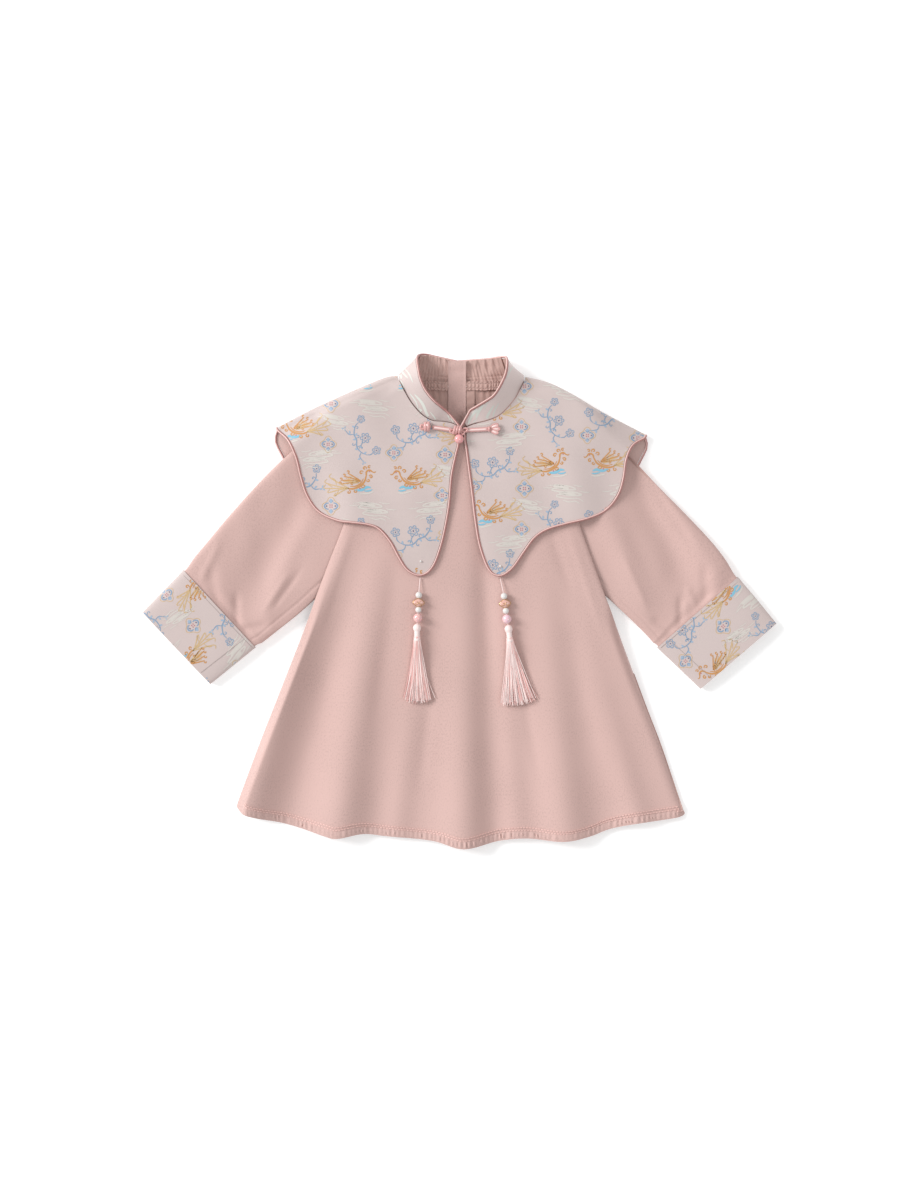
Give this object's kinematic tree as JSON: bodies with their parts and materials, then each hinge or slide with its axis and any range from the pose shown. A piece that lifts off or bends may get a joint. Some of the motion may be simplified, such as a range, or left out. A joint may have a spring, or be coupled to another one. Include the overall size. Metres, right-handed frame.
{
  "type": "child's dress",
  "caption": "Child's long-sleeved A-line dress laid flat, with a brocade cape collar, stand collar, cuffs, knotted frog fastening and tassel pendants.",
  "frame": {"origin": "the middle of the dress's flat underside, on the surface that it lies on", "axes": "+X to the viewer's right across the sleeves, +Y up towards the neck, +Z out of the front"},
  "size_m": [0.658, 0.5138, 0.0325],
  "materials": {
    "rose_cloth": "dusty rose cloth, brushed and soft",
    "brocade": "pale pink-grey brocade with woven flowers, medallions and clouds",
    "piping_satin": "salmon satin cord",
    "coral_bead": "polished coral",
    "lilac_bead": "polished lilac pink",
    "pearl": "pearly white",
    "cloud_bead": "pink enamel with a gilt rim",
    "thread": "pink cord",
    "tassel_silk": "pale pink silk"
  },
  "bodies": {
    "root": {"front_panel": "rose_cloth", "back_left": "rose_cloth", "back_right": "rose_cloth", "back_placket": "rose_cloth", "sleeve_left": "rose_cloth", "sleeve_right": "rose_cloth", "cuff_left": "brocade", "cuff_right": "brocade", "cape_left": "brocade", "cape_right": "brocade", "cape_piping_left": "piping_satin", "cape_piping_right": "piping_satin", "collar_left": "brocade", "collar_right": "brocade", "collar_facing_left": "rose_cloth", "collar_facing_right": "rose_cloth", "collar_piping_left": "piping_satin", "collar_piping_right": "piping_satin", "frog_end_knot": "piping_satin", "frog_button_knot": "piping_satin", "frog_ball": "coral_bead", "frog_bar_left": "piping_satin", "frog_bar_right": "piping_satin", "frog_petal_1": "piping_satin", "frog_petal_2": "piping_satin", "frog_petal_3": "piping_satin", "pendant_left_pearl_upper": "pearl", "pendant_left_cloud_bead": "cloud_bead", "pendant_left_pearl_lower": "pearl", "pendant_left_round_bead": "coral_bead", "pendant_left_thread": "thread", "pendant_left_tassel": "tassel_silk", "pendant_right_pearl_upper": "pearl", "pendant_right_cloud_bead": "cloud_bead", "pendant_right_pearl_lower": "pearl", "pendant_right_round_bead": "lilac_bead", "pendant_right_thread": "thread", "pendant_right_tassel": "tassel_silk"}
  },
  "joints": []
}
